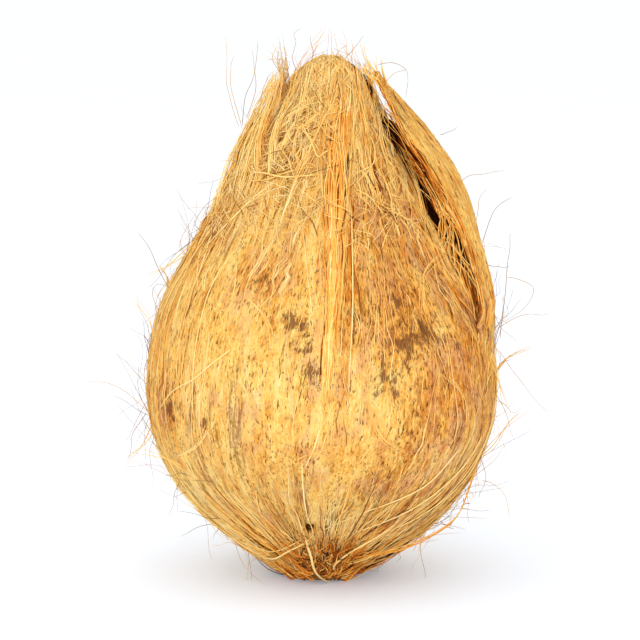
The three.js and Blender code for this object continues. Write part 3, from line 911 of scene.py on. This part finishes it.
def makeSplitFibres():  # torn strands along the tongue's edge, across the split and off its lower end, and near-black ones as painted shade in the split
    form = splitForm
    rng = np.random.default_rng(form["seed"])
    n = form["edge"]["count"]
    t = along(12)
    start = rng.uniform(0.06, 0.86, n)
    up = column(start) + column(np.minimum(rng.uniform(0.08, 0.3, n), 1.0 - start)) * t
    share = rng.normal(-0.03, 0.08, (n, 1)) + sway(rng, n, 12, 0.06)
    edge = inSplit(share, up, 0.4 * arch(t) + rng.normal(-0.6, 0.6, (n, 1)))
    radii = taper(rng.uniform(*form["edge"]["radius"], n), 0.08, 12)

    r = form["root"]["count"]  # over the lower end of the tongue, where it leaves the husk
    up = rng.uniform(-0.03, 0.05, (r, 1)) + rng.uniform(0.06, 0.16, (r, 1)) * t
    across = rng.uniform(-0.5, 0.5, (r, 1)) + sway(rng, r, 12, 0.008)
    root = tonguePlace(across, np.maximum(up, 0), 0.25 * arch(t) - 0.1)
    root[..., 2] += np.minimum(up, 0) * 100

    f = form["frayed"]["count"]
    start = rng.uniform(0.04, 0.5, f)
    up = column(start) + rng.uniform(0.08, 0.26, (f, 1)) * t
    share = rng.uniform(0.0, 1.0, (f, 1)) * (1 - 0.66 * smoothstep(up, 0.26, 0.46)) + sway(rng, f, 12, 0.05)
    frayed = inSplit(share, up, rng.uniform(-3.4, -0.6, (f, 1)) + 0.6 * arch(t))
    frayedRadii = taper(rng.uniform(*form["frayed"]["radius"], f), 0.08, 12)

    # near-black fibres off the torn face: painted shade in the deep part of the split
    d = form["shadeLining"]["count"]
    start = rng.uniform(148, 200, d)
    most = 1.2 + 3.8 * (1 - smoothstep(start, 162, 188))
    lift = column(most * rng.random(d)) * arch(along(8), 0.1)
    shadeLining = lay(rng.uniform(-24, 14, d), start, rng.uniform(6, 14, d), rng.normal(-0.06, 0.06, d), lift)

    m = form["crossing"]["count"]
    t = along(10)
    start = rng.uniform(0.12, 0.8, m)
    up = column(start) + rng.uniform(0.05, 0.26, (m, 1)) * t
    side = rng.choice([0, 1], (m, 1))
    share = side + (1 - 2 * side) * t * rng.uniform(0.6, 1.25, (m, 1))
    crossing = inSplit(share, up, arch(t) * rng.uniform(-0.5, 1.6, (m, 1)) + sway(rng, m, 10, 0.4))
    thin = taper(rng.uniform(*form["crossing"]["radius"], m), 0.08, 10)

    w = form["wall"]["count"]
    t = along(8)
    lift = rng.uniform(-0.2, 0.9, (w, 1)) * arch(t) - 0.15
    start = rng.uniform(118, 190, w)
    degrees = husk["splitAngle"] - rng.uniform(5, 12, w)
    wall = lay(degrees, start, rng.uniform(8, 22, w), rng.normal(-0.05, 0.08, w), lift)

    k = form["lower"]["count"]
    t = along(8)
    degrees = rng.normal(-32, 4, k)
    lift = 0.2 * arch(t) + rng.uniform(0, 1, (k, 1)) ** 2 * 2.6 * t**2
    sweep = rng.normal(0, 0.5, k)
    lower = lay(degrees, rng.uniform(84, 132, k), rng.uniform(4, 15, k), sweep, lift, sway(rng, k, 8, 0.5))
    makeFibres("splitFibres", [
        (edge, radii, shadesOf(rng, n, *form["edge"]["shade"])),
        (crossing, thin, shadesOf(rng, m, *form["crossing"]["shade"])),
        (frayed, frayedRadii, shadesOf(rng, f, *form["frayed"]["shade"])),
        (shadeLining, form["shadeLining"]["radius"], rng.uniform(*form["shadeLining"]["shades"], d)),
        (root, form["root"]["radius"], shadesOf(rng, r, *form["root"]["shade"])),
        (wall, form["wall"]["radius"], shadesOf(rng, w, *form["wall"]["shade"])),
        (lower, form["lower"]["radius"], shadesOf(rng, k, *form["lower"]["shade"])),
    ])


makeSplitFibres()

tongueFibreForm = {
    "felt": {"count": 220, "radius": (0.07, 0.13), "shade": (0.68, 0.14, 0.1)},
    "edge": {"count": 70, "radius": 0.16, "shade": (0.62, 0.15, 0.2)},
    "tip": {"count": 16, "radius": (0.2, 0.4), "shade": (0.74, 0.08)},
    "seed": 19,
}


def makeTongueFibres():  # fibres that lie along the tongue, fray from its edges and stand off its tip
    form = tongueFibreForm
    rng = np.random.default_rng(form["seed"])
    n = form["felt"]["count"]
    t = along(8)
    up = rng.uniform(0.02, 0.9, (n, 1)) + rng.uniform(0.03, 0.16, (n, 1)) * t
    up = np.minimum(up, 0.995)
    across = rng.uniform(-0.5, 0.5, (n, 1)) + sway(rng, n, 8, 0.012) + rng.normal(0, 0.05, (n, 1)) * t
    felt = tonguePlace(across, up, 0.12 * arch(t) + column(rng.uniform(0, 1, n) ** 5) * 2 * t**3)
    radii = taper(rng.uniform(*form["felt"]["radius"], n), 0.06, 8)

    m = form["edge"]["count"]
    up = np.minimum(rng.uniform(0.05, 0.85, (m, 1)) + rng.uniform(0.06, 0.3, (m, 1)) * t, 0.99)
    side = rng.choice([-0.5, 0.5], (m, 1), p=[0.35, 0.65])
    across = side * (0.97 + rng.uniform(0, 0.14, (m, 1)) * t)
    edge = tonguePlace(across, up, rng.uniform(-1.2, 0.9, (m, 1)) * t)

    k = form["tip"]["count"]
    root = tonguePlace(rng.uniform(-0.4, 0.3, (k, 1)), rng.uniform(0.84, 0.98, (k, 1)))[:, 0]
    rise = np.stack([rng.normal(-3.4, 1.0, k), rng.normal(0.5, 1.2, k), rng.uniform(4, 11, k)], axis=-1)
    bow = np.stack([rng.normal(-1.2, 0.8, k), rng.normal(0, 0.6, k), np.zeros(k)], axis=-1)
    tip = root[:, None] + rise[:, None] * t[:, None] + bow[:, None] * arch(t)[:, None]
    thick = taper(rng.uniform(*form["tip"]["radius"], k), 0.08, 8)
    makeFibres("tongueFibres", [
        (felt, radii, shadesOf(rng, n, *form["felt"]["shade"])),
        (edge, form["edge"]["radius"], shadesOf(rng, m, *form["edge"]["shade"])),
        (tip, thick, shadesOf(rng, k, *form["tip"]["shade"])),
    ])


makeTongueFibres()

stringForm = {
    "strings": [  # the course of each string, as angle and way along the husk; its radius, shade and lift
        ([(-125, 168), (-130, 165), (-138, 159), (-146, 151), (-155, 142)], 0.3, 0.86, 0.5),
        ([(-160, 141), (-152, 134), (-146, 128)], 0.25, 0.84, 0.5),
        ([(-131, 150), (-138, 134), (-138, 119), (-137, 104), (-136, 88)], 0.28, 0.88, 0.5),
        ([(-122, 112), (-128, 107), (-136, 101), (-148, 95), (-161, 85)], 0.27, 0.86, 0.6),
        ([(-92, 90), (-94, 80), (-96, 71)], 0.3, 0.9, 0.6),
        ([(-90, 88), (-92, 80), (-95, 70)], 0.24, 0.82, 0.4),
        ([(-59, 167), (-53, 157), (-47, 139), (-44, 128), (-46, 116), (-50, 104)], 0.2, 0.5, 0.1),
        ([(-75, 159), (-64, 157), (-56, 156)], 0.2, 0.35, 0.4),
        ([(-151, 169), (-133, 169), (-120, 168), (-109, 169), (-96, 170)], 0.4, 0.82, 1.5),
        ([(-148, 166), (-131, 167), (-118, 170), (-104, 172), (-90, 171)], 0.3, 0.74, 1.3),
        ([(-88, 177), (-83, 161), (-83, 145), (-83, 128), (-84, 113), (-84, 97)], 0.26, 0.92, 0.6),
        ([(-60, 185), (-55, 179), (-61, 173), (-74, 170), (-83, 168)], 0.28, 0.82, 1.6),
        ([(-121, 187), (-109, 180), (-103, 175), (-97, 177), (-87, 181)], 0.26, 0.8, 2.0),
        ([(-127, 56), (-124, 47), (-123, 38), (-120, 28)], 0.34, 0.86, 0.6),
        ([(-97, 76), (-97, 62), (-97, 50), (-97, 39)], 0.36, 0.9, 0.4),
        ([(-115, 60), (-119, 46), (-121, 33), (-117, 24)], 0.24, 0.8, 0.4),
        ([(-40, 86), (-47, 73), (-54, 59), (-74, 45), (-97, 31)], 0.32, 0.88, 0.6),
        ([(-30, 80), (-40, 62), (-52, 46), (-72, 34), (-95, 27)], 0.3, 0.84, 0.5),
        ([(-22, 76), (-28, 58), (-42, 40), (-66, 28)], 0.28, 0.8, 0.5),
        ([(-164, 22), (-142, 21.5), (-124, 23.5), (-102, 29), (-94, 34)], 0.46, 0.84, 1.6),
        ([(-152, 27), (-132, 25), (-112, 28), (-98, 33)], 0.3, 0.78, 1.3),
        ([(-101, 31), (-99, 24), (-97, 13.6), (-80, 7), (-46, 4)], 0.46, 0.86, 2.6),
        ([(-59, 8), (-76, 15), (-72, 22), (-63, 28), (-54, 34), (-48, 44)], 0.4, 0.8, 1.8),
        ([(-66, 15), (-52, 19), (-40, 25), (-34, 36)], 0.32, 0.76, 1.6),
        ([(-170, 110), (-166, 128), (-160, 146), (-156, 160)], 0.26, 0.84, 0.6),
        ([(-12, 92), (-18, 84), (-26, 70), (-32, 56), (-34, 44)], 0.4, 0.84, 0.7),
    ],
    "cracks": [  # where the felt has parted in a fine dark line
        [(-61, 171), (-59, 165), (-55, 158), (-51, 150), (-47, 139), (-44, 128), (-44, 118)],
        [(-97, 118), (-97, 108), (-99, 96)], [(-128, 112), (-129, 96), (-127, 80)],
        [(-70, 92), (-73, 82), (-76, 70)], [(-146, 128), (-148, 112), (-147, 96)],
    ],
    "scattered": {"count": 70, "radius": (0.11, 0.22), "shade": (0.82, 0.08)},
    "seed": 23,
}


def makeStrings():  # long single fibres draped over the husk, each with a dark line beside it as its painted shadow
    form = stringForm
    rng = np.random.default_rng(form["seed"])
    points = 18
    t = along(points)
    groups = []
    for rows, radius, shade, high in form["strings"]:
        line = onLine(rows, points, high * arch(t, 0.03) - 0.05)
        line = line + sway(rng, 3, points, 0.14).T
        groups.append((line[None], taper([radius], 0.1, points, 3), shade))
        # its painted shadow: a broken dark line just beside and under it
        under = onLine(rows, points, -0.02) + [0.3, 0, -0.12]
        broken = 0.15 * np.clip(np.sin(t * 40 + 9 * shade) + 0.3, 0, 1)
        groups.append((under[None], broken[None], 0.07))

    for rows in form["cracks"]:
        line = onLine(rows, points, 0.0) + sway(rng, 3, points, 0.2).T
        groups.append((line[None], 0.1 + 0.08 * np.sin(t * 31)[None], 0.1))

    scattered = form["scattered"]
    n = scattered["count"]
    start = rng.uniform(30, 165, n)
    length = np.minimum(rng.uniform(16, 54, n), 196 - start)
    lift = rng.uniform(0.1, 0.8, (n, 1)) * arch(t, 0.04) - 0.05
    swayed = sway(rng, n, points, 0.8)
    degrees = rng.uniform(-180, 180, n)
    sweep = rng.normal(0, 0.12, n)
    radii = taper(rng.uniform(*scattered["radius"], n), 0.08, points, 3)
    over = lay(degrees, start, length, sweep, lift, swayed)
    groups.append((over, radii, shadesOf(rng, n, *scattered["shade"])))
    # broken dark lines beside the scattered fibres, as their painted shadows
    broken = 0.12 * np.clip(np.sin(rng.uniform(0, 6, (n, 1)) + t * 33) - 0.1, 0, 1)
    under = lay(degrees + 0.35, start, length, sweep, lift * 0.1, swayed)
    groups.append((under, broken, rng.uniform(0.08, 0.3, n)))
    makeFibres("strings", groups)


makeStrings()

looseForm = {
    "neck": {"count": 46, "each": 9, "radius": (0.15, 0.3), "shade": (0.78, 0.12, 0.06), "seed": 23},
    "side": {"count": 36, "each": 3, "radius": (0.12, 0.26), "shade": (0.74, 0.12), "seed": 37},
    "standing": {"each": 19, "radius": (0.12, 0.26), "shade": (0.78, 0.12, 0.06)},
    "stands": [  # bundles that stand up beside the neck: angle, distance along the core line, lift
        [(186, 118, -1), (186, 133, 1.8), (180, 148, 3.6), (176, 163, 8)],
        [(206, 122, -1), (203, 137, 1.4), (204, 151, 3.6), (206, 165, 9.5)],
        [(150, 120, -1), (155, 136, 1.6), (162, 150, 3.4), (166, 163, 7)],
        [(222, 132, -1), (217, 144, 2.2), (212, 155, 5.4), (204, 166, 11)],
        [(196, 128, -1), (194, 141, 1.6), (194, 153, 3.6), (198, 164, 8)],
        [(232, 134, -1), (226, 146, 1.4), (222, 156, 3), (222, 165, 6)],
    ],
    "loop": {"each": 4, "radius": (0.14, 0.26), "shade": (0.55, 0.08)},
    "hanging": [(-16, 42, -1), (-14, 30, 2.5), (-18, 20, 8), (-30, 12, 9), (-50, 7, 5.5), (-70, 5, -1)],
    "twigs": {"count": 12, "radius": 0.12, "shade": (0.5, 0.12)},
    "seed": 29,
}


def repeatable(seed):  # the draws that place the solid's own strands
    state = seed
    while True:
        state = (state * 1664525 + 1013904223) % 4294967296
        yield state / 4294967296


def lerp(low, high, t):
    return low + (high - low) * t


def standOff(degrees, s, lift=0.0):  # a place off the husk, straight out from the core line
    return skin(degrees, arcAt(s), lift) + setDown


def neckLines():  # the strands that lie up the neck and stand off at their ends
    draw = repeatable(looseForm["neck"]["seed"])
    count = looseForm["neck"]["count"]
    for i in range(count):
        degrees = (i * 137.5) % 360
        root = lerp(114, 148, (i + next(draw)) / count)
        length = lerp(18, 32, next(draw))
        sweep = lerp(-15, 15, next(draw))
        flare = lerp(0.8, 4.5, next(draw))
        top = min(root + length, husk["outline"][-1][1] - 4)
        tip = standOff(degrees + sweep, top, flare) + [0, 0, (root + length - top) * 0.3]
        yield smoothLine([
            standOff(degrees, root, -1.2), standOff(degrees + sweep * 0.15, lerp(root, top, 0.25), 0.5),
            standOff(degrees + sweep * 0.5, lerp(root, top, 0.65), 0.7 + flare * 0.3), tip], 10)


def sideLines():  # the stray fibres that leave the husk at a slant and curl away
    draw = repeatable(looseForm["side"]["seed"])
    count = looseForm["side"]["count"]
    for i in range(count):
        degrees = i * 137.5 + 20
        s = lerp(24, 128, (i + 0.5) / count)
        reach = lerp(5, 13, next(draw))
        rise = lerp(9, 24, next(draw)) * (1 if i % 3 else -0.8)
        sweep = lerp(-12, 12, next(draw))
        yield smoothLine([
            standOff(degrees, s, -0.8), standOff(degrees + sweep * 0.1, s + rise * 0.34, reach * 0.16),
            standOff(degrees + sweep * 0.4, s + rise * 0.7, reach * 0.48),
            standOff(degrees + sweep, s + rise, reach)], 14)


def makeLooseStrands():  # every coarse strand as a bundle of its own fibres
    form = looseForm
    rng = np.random.default_rng(form["seed"])
    neck = spread(rng, np.array(list(neckLines())), form["neck"]["each"], 0.46)
    neck = neck + sway(rng, len(neck), 10, 0.5)[..., None] * [1, 1, 0]
    neckRadii = taper(rng.uniform(*form["neck"]["radius"], len(neck)), 0.08, 10)
    side = spread(rng, np.array(list(sideLines())), form["side"]["each"], 0.5, 0.15)
    side = side + rng.normal(0, 0.5, (len(side), 1, 3)) * np.sin(5 * along(14))[:, None]
    sideRadii = taper(rng.uniform(*form["side"]["radius"], len(side)), 0.06, 14)
    stands = [smoothLine([standOff(*row) for row in rows], 12) for rows in form["stands"]]
    standing = spread(rng, np.array(stands), form["standing"]["each"], 0.8, 0.55)
    standing = standing + sway(rng, len(standing), 12, 0.9)[..., None] * [1, 0.6, 0]
    standingRadii = taper(rng.uniform(*form["standing"]["radius"], len(standing)), 0.06, 12)
    hanging = smoothLine([standOff(*row) for row in form["hanging"]], 26)
    n = form["loop"]["each"]
    loop = spread(rng, hanging[None], n, 0.2, 0.9) + sway(rng, n, 26, 0.7)[..., None] * [0.7, 0.2, 1]
    k = form["twigs"]["count"]
    t = along(6)[:, None]
    ends = rng.normal(0, 2.6, (k, 1, 3)) + [0.6, 0, -0.6]
    twigs = loop[rng.integers(0, n, k), rng.integers(5, 20, k)][:, None] + ends * t
    twigs = twigs + rng.normal(0, 0.7, (k, 1, 3)) * arch(t)
    makeFibres("looseStrands", [
        (neck, neckRadii, shadesOf(rng, len(neck), *form["neck"]["shade"])),
        (side, sideRadii, shadesOf(rng, len(side), *form["side"]["shade"])),
        (standing, standingRadii, shadesOf(rng, len(standing), *form["standing"]["shade"])),
        (loop, taper(rng.uniform(*form["loop"]["radius"], n), 0.12, 26),
            shadesOf(rng, n, *form["loop"]["shade"])),
        (twigs, form["twigs"]["radius"], shadesOf(rng, k, *form["twigs"]["shade"])),
    ], replaces=True)


makeLooseStrands()

knotForm = {
    "strands": {"count": 14, "each": 7, "radius": (0.24, 0.5), "shade": (0.4, 0.16, 0.1), "seed": 53},
    "curls": {"count": 230, "radius": (0.14, 0.36), "shade": (0.41, 0.18, 0.2)},
    "fan": {"count": 440, "radius": (0.1, 0.24), "shade": (0.76, 0.12, 0.1)},
    "seed": 31,
}


def knotLines():  # the short thick strands that spread forward from the pointed end
    draw = repeatable(knotForm["strands"]["seed"])
    count = knotForm["strands"]["count"]
    for i in range(count):
        degrees = lerp(-190, 10, (i + 0.5) / count) + lerp(-6, 6, next(draw))
        turned = degrees + lerp(-35, 35, next(draw))
        reach = lerp(5, 11, next(draw))
        stand = lerp(0.6, 2.6, next(draw))
        yield smoothLine([
            standOff(degrees, 2.5, -2), around(reach, degrees, 2.2 - stand) + setDown,
            around(reach + 5, lerp(degrees, turned, 0.6), 5 - stand) + setDown,
            around(reach + 9, turned, 8.5 - stand * 1.4) + setDown], 10)


def openHoles(rng, paths):  # false for most of the fibres that would cover a hole
    clear = np.ones(len(paths), bool)
    for at, way, wide, _ in bodyForm["hollows"]:
        near = np.linalg.norm(paths - skin(at, way) - setDown, axis=-1).min(axis=1)
        clear &= (near > 0.75 * wide) | (rng.random(len(paths)) < 0.2)
    return clear


def makeKnot():  # torn, curled, rust-brown fibre at the pointed end
    form = knotForm
    rng = np.random.default_rng(form["seed"])
    strands = spread(rng, np.array(list(knotLines())), form["strands"]["each"], 0.6, 0.6)
    radii = taper(rng.uniform(*form["strands"]["radius"], len(strands)), 0.1, 10)
    n = form["curls"]["count"]
    t = along(12)
    degrees = rng.normal(-90, 42, n)
    near = 0.25 + 0.75 * bump(turn(degrees, -88), 38)
    lift = column(near * rng.uniform(0.3, 3.2, n)) * arch(np.minimum(t * 1.2, 0.85)) - 0.4 * (1 - t) ** 2
    start = 4 + near * rng.uniform(1, 20, n)
    curls = lay(degrees, start, rng.uniform(6, 17, n), rng.normal(0, 0.5, n), lift, sway(rng, n, 12, 0.9))
    curls = curls[openHoles(rng, curls)]
    n = len(curls)
    curlRadii = taper(rng.uniform(*form["curls"]["radius"], n), 0.08, 12)

    m = form["fan"]["count"]
    t = along(14)
    aside = np.where(rng.random(m) < 0.75, rng.uniform(-90, 88, m), rng.uniform(90, 270, m))
    gather = rng.uniform(0.45, 0.95, m)
    parting = column(gather) + column(1 - gather) * np.sqrt(t)
    degrees = -89 + column(aside) * parting + sway(rng, m, 14, 1.2)
    arc = rng.uniform(9, 30, (m, 1)) + column(10 + 46 * rng.random(m) ** 1.6) * t
    lift = rng.uniform(0.1, 1, (m, 1)) ** 3 * 1.6 * arch(t, 0.06) + 0.02
    fan = onHusk(degrees, arc, lift)
    kept = openHoles(rng, fan)
    fan, arc = fan[kept], arc[kept]
    m = len(fan)
    fanRadii = taper(rng.uniform(*form["fan"]["radius"], m), 0.08, 14, 3)
    fanShades = shadesOf(rng, m, *form["fan"]["shade"]) - 0.3 * (1 - smoothstep(arc[:, 4], 20, 34))
    makeFibres("knot", [
        (strands, radii, shadesOf(rng, len(strands), *form["strands"]["shade"])),
        (curls, curlRadii, shadesOf(rng, n, *form["curls"]["shade"])),
        (fan, fanRadii, fanShades)])


makeKnot()

hairForm = {
    "hairs": [  # places across and up of each hair that stands clear of the outline, and how far back it is
        ([(-26, 145), (-29, 154), (-30, 163), (-30, 176)], -5),
        ([(-25, 145), (-28, 157), (-29, 164), (-27, 168)], -7),
        ([(-25, 146), (-24, 155), (-21, 163), (-20, 173)], -9),
        ([(-24, 148), (-21, 157), (-21, 165), (-22, 170)], -4),
        ([(-8, 163), (-9, 167), (-8, 172), (-9, 175), (-7, 177)], -3),
        ([(-3, 166), (-3, 170), (-4, 174)], 0), ([(7, 166), (10, 170), (13, 174)], 1),
        ([(4, 167), (6, 170), (8, 171)], -2),
        ([(17, 165), (22, 166), (26, 164), (27, 160), (26, 155)], -8),
        ([(19, 158), (23, 163), (26, 164)], -8), ([(37, 143), (40, 144), (43, 145)], -4),
        ([(42, 127), (46, 130), (52, 131), (58, 132)], -6), ([(49, 115), (50, 122), (52, 126)], -2),
        ([(51, 108), (55, 118), (60, 123)], 0), ([(57, 77), (59, 101), (60, 112)], -2),
        ([(52, 102), (55, 102), (59, 101)], -8), ([(59, 97), (63, 96), (68, 93), (65, 87), (57, 82)], 2),
        ([(56, 80), (63, 84), (68, 85), (73, 85)], 3), ([(56, 74), (63, 65), (73, 54)], -2),
        ([(54, 59), (58, 57), (61, 54), (64, 56)], -5), ([(51, 32), (56, 30), (59, 26), (60, 19)], -3),
        ([(49, 45), (52, 35), (50, 27)], -8), ([(-56, 54), (-65, 62), (-75, 64)], -2),
        ([(-56, 54), (-61, 47), (-61, 39)], -4), ([(-47, 91), (-53, 102), (-59, 112)], -1),
        ([(-51, 83), (-54, 90), (-52, 95), (-46, 93)], 0), ([(-55, 73), (-57, 67), (-56, 58)], -1),
        ([(-37, 111), (-40, 115), (-36, 121), (-32, 123)], -4),
        ([(-42, 102), (-44, 109), (-41, 118)], -2),
    ],
    "radius": 0.13,
    "tuft": {"count": 22, "radius": (0.12, 0.26), "shades": (0.6, 0.92)},
    "scattered": {"count": 190, "right": 60, "radius": (0.07, 0.13), "shade": (0.5, 0.16)},
    "fuzz": {"count": 1700, "radius": 0.06, "shade": (0.66, 0.14, 0.1)},
    "seed": 41,
}


def makeHairs():  # thin hairs that stand off all round, and the short fuzz of the skin
    form = hairForm
    rng = np.random.default_rng(form["seed"])
    groups = []
    for rows, back in form["hairs"]:
        line = smoothLine([(x, back, z) for x, z in rows], 14) + sway(rng, 3, 14, 0.3).T
        groups.append((line[None], taper([form["radius"]], 0.07, 14), rng.uniform(0.35, 0.7)))

    k = form["tuft"]["count"]
    course = np.array([(-12, -4, 150), (-11.6, -4, 157), (-12.2, -4.5, 164), (-13.8, -5, 171)])
    stray = rng.normal(0, 1, (k, 4, 3)) * [[1.2, 1, 2], [0.9, 1, 1.5], [1.2, 1, 2], [2.2, 1, 2.5]]
    tuft = [smoothLine(course + places, 12) for places in stray]
    tuftRadii = taper(rng.uniform(*form["tuft"]["radius"], k), 0.06, 12)
    groups.append((np.array(tuft), tuftRadii, rng.uniform(*form["tuft"]["shades"], k)))

    scattered = form["scattered"]
    n = scattered["count"] + scattered["right"]
    t = along(12)
    degrees = np.where(rng.random(n) < 0.45, rng.normal(180, 26, n), rng.uniform(-10, 190, n))
    degrees[scattered["count"]:] = rng.normal(-8, 22, scattered["right"])
    start = rng.uniform(24, 178, n)
    length = rng.uniform(5, 22, n) * rng.choice([1, 1, -1], n)
    reach = rng.uniform(0.3, 1, n) ** 2 * 14
    lift = column(reach) * t**1.4
    hairs = lay(degrees, start, length, rng.normal(0, 0.5, n), lift, sway(rng, n, 12, 1.8))
    curl = rng.normal(0, 1.6, (n, 1, 3)) * np.sin(math.pi * 1.7 * t)[:, None] * t[:, None]
    radii = taper(rng.uniform(*scattered["radius"], n), 0.05, 12)
    groups.append((hairs + curl, radii, shadesOf(rng, n, *scattered["shade"])))

    m = form["fuzz"]["count"]
    t = along(4)
    lift = rng.uniform(0.3, 1.7, (m, 1)) * t
    start = rng.uniform(10, 208, m)
    degrees = rng.uniform(-180, 180, m)
    fuzz = lay(degrees, start, rng.uniform(-4, 5, m), rng.normal(0, 0.8, m), lift, sway(rng, m, 4, 0.4))
    groups.append((fuzz, form["fuzz"]["radius"], shadesOf(rng, m, *form["fuzz"]["shade"])))
    makeFibres("hairs", groups, material=hairMaterial)


makeHairs()

bpy.data.objects.remove(fibreSection)

# floor, lights and camera
studio = {
    "floorSize": 60,
    "paper": {  # matt and white, with the glow of a lit background
        "Base Color": linear("#E8EEF4"), "Roughness": 0.9,
        "Emission Color": linear("#DCE8FF"), "Emission Strength": 0.18,
    },
    "daylight": 1.05,
    "softboxes": [  # place and size in metres, and power in watts
        ("key", (-0.3, -0.75, 0.75), 1.4, 3.1), ("fill", (0.05, -1.0, 0.05), 0.6, 5.0),
    ],
    "lightsAimAt": (0, 0, 0.08),
    "distance": 0.9,
    "elevation": 8,
    "frameWidth": 0.2048,
    "aside": -0.0006,
    "middle": 0.0826,
}

floor = startFrom(bpy.ops.mesh.primitive_plane_add, "floor", size=studio["floorSize"])
floor.data.materials.append(newMaterial("matt white paper", studio["paper"])[0])

world = bpy.data.worlds.new("studio")
bpy.context.scene.world = world
world.use_nodes = True
world.node_tree.nodes["Background"].inputs["Color"].default_value = (1, 1, 1, 1)
world.node_tree.nodes["Background"].inputs["Strength"].default_value = studio["daylight"]

for name, place, size, power in studio["softboxes"]:
    light = bpy.data.lights.new(name, "AREA")
    light.energy = power
    light.size = size
    lamp = bpy.data.objects.new(name, light)
    bpy.context.collection.objects.link(lamp)
    lamp.location = place
    lamp.rotation_euler = (Vector(studio["lightsAimAt"]) - Vector(place)).to_track_quat("-Z", "Y").to_euler()

elevation = math.radians(studio["elevation"])
camera = bpy.data.cameras.new("camera")
camera.lens = camera.sensor_width * studio["distance"] / studio["frameWidth"]
viewer = bpy.data.objects.new("camera", camera)
bpy.context.collection.objects.link(viewer)
aim = Vector((studio["aside"], 0, studio["middle"] / math.cos(elevation)))
back = Vector((0, -math.cos(elevation), math.sin(elevation)))
viewer.location = aim + back * studio["distance"]
viewer.rotation_euler = (-back).to_track_quat("-Z", "Y").to_euler()
bpy.context.scene.camera = viewer
bpy.context.scene.view_settings.view_transform = "Standard"
print("floor, lights and camera set")
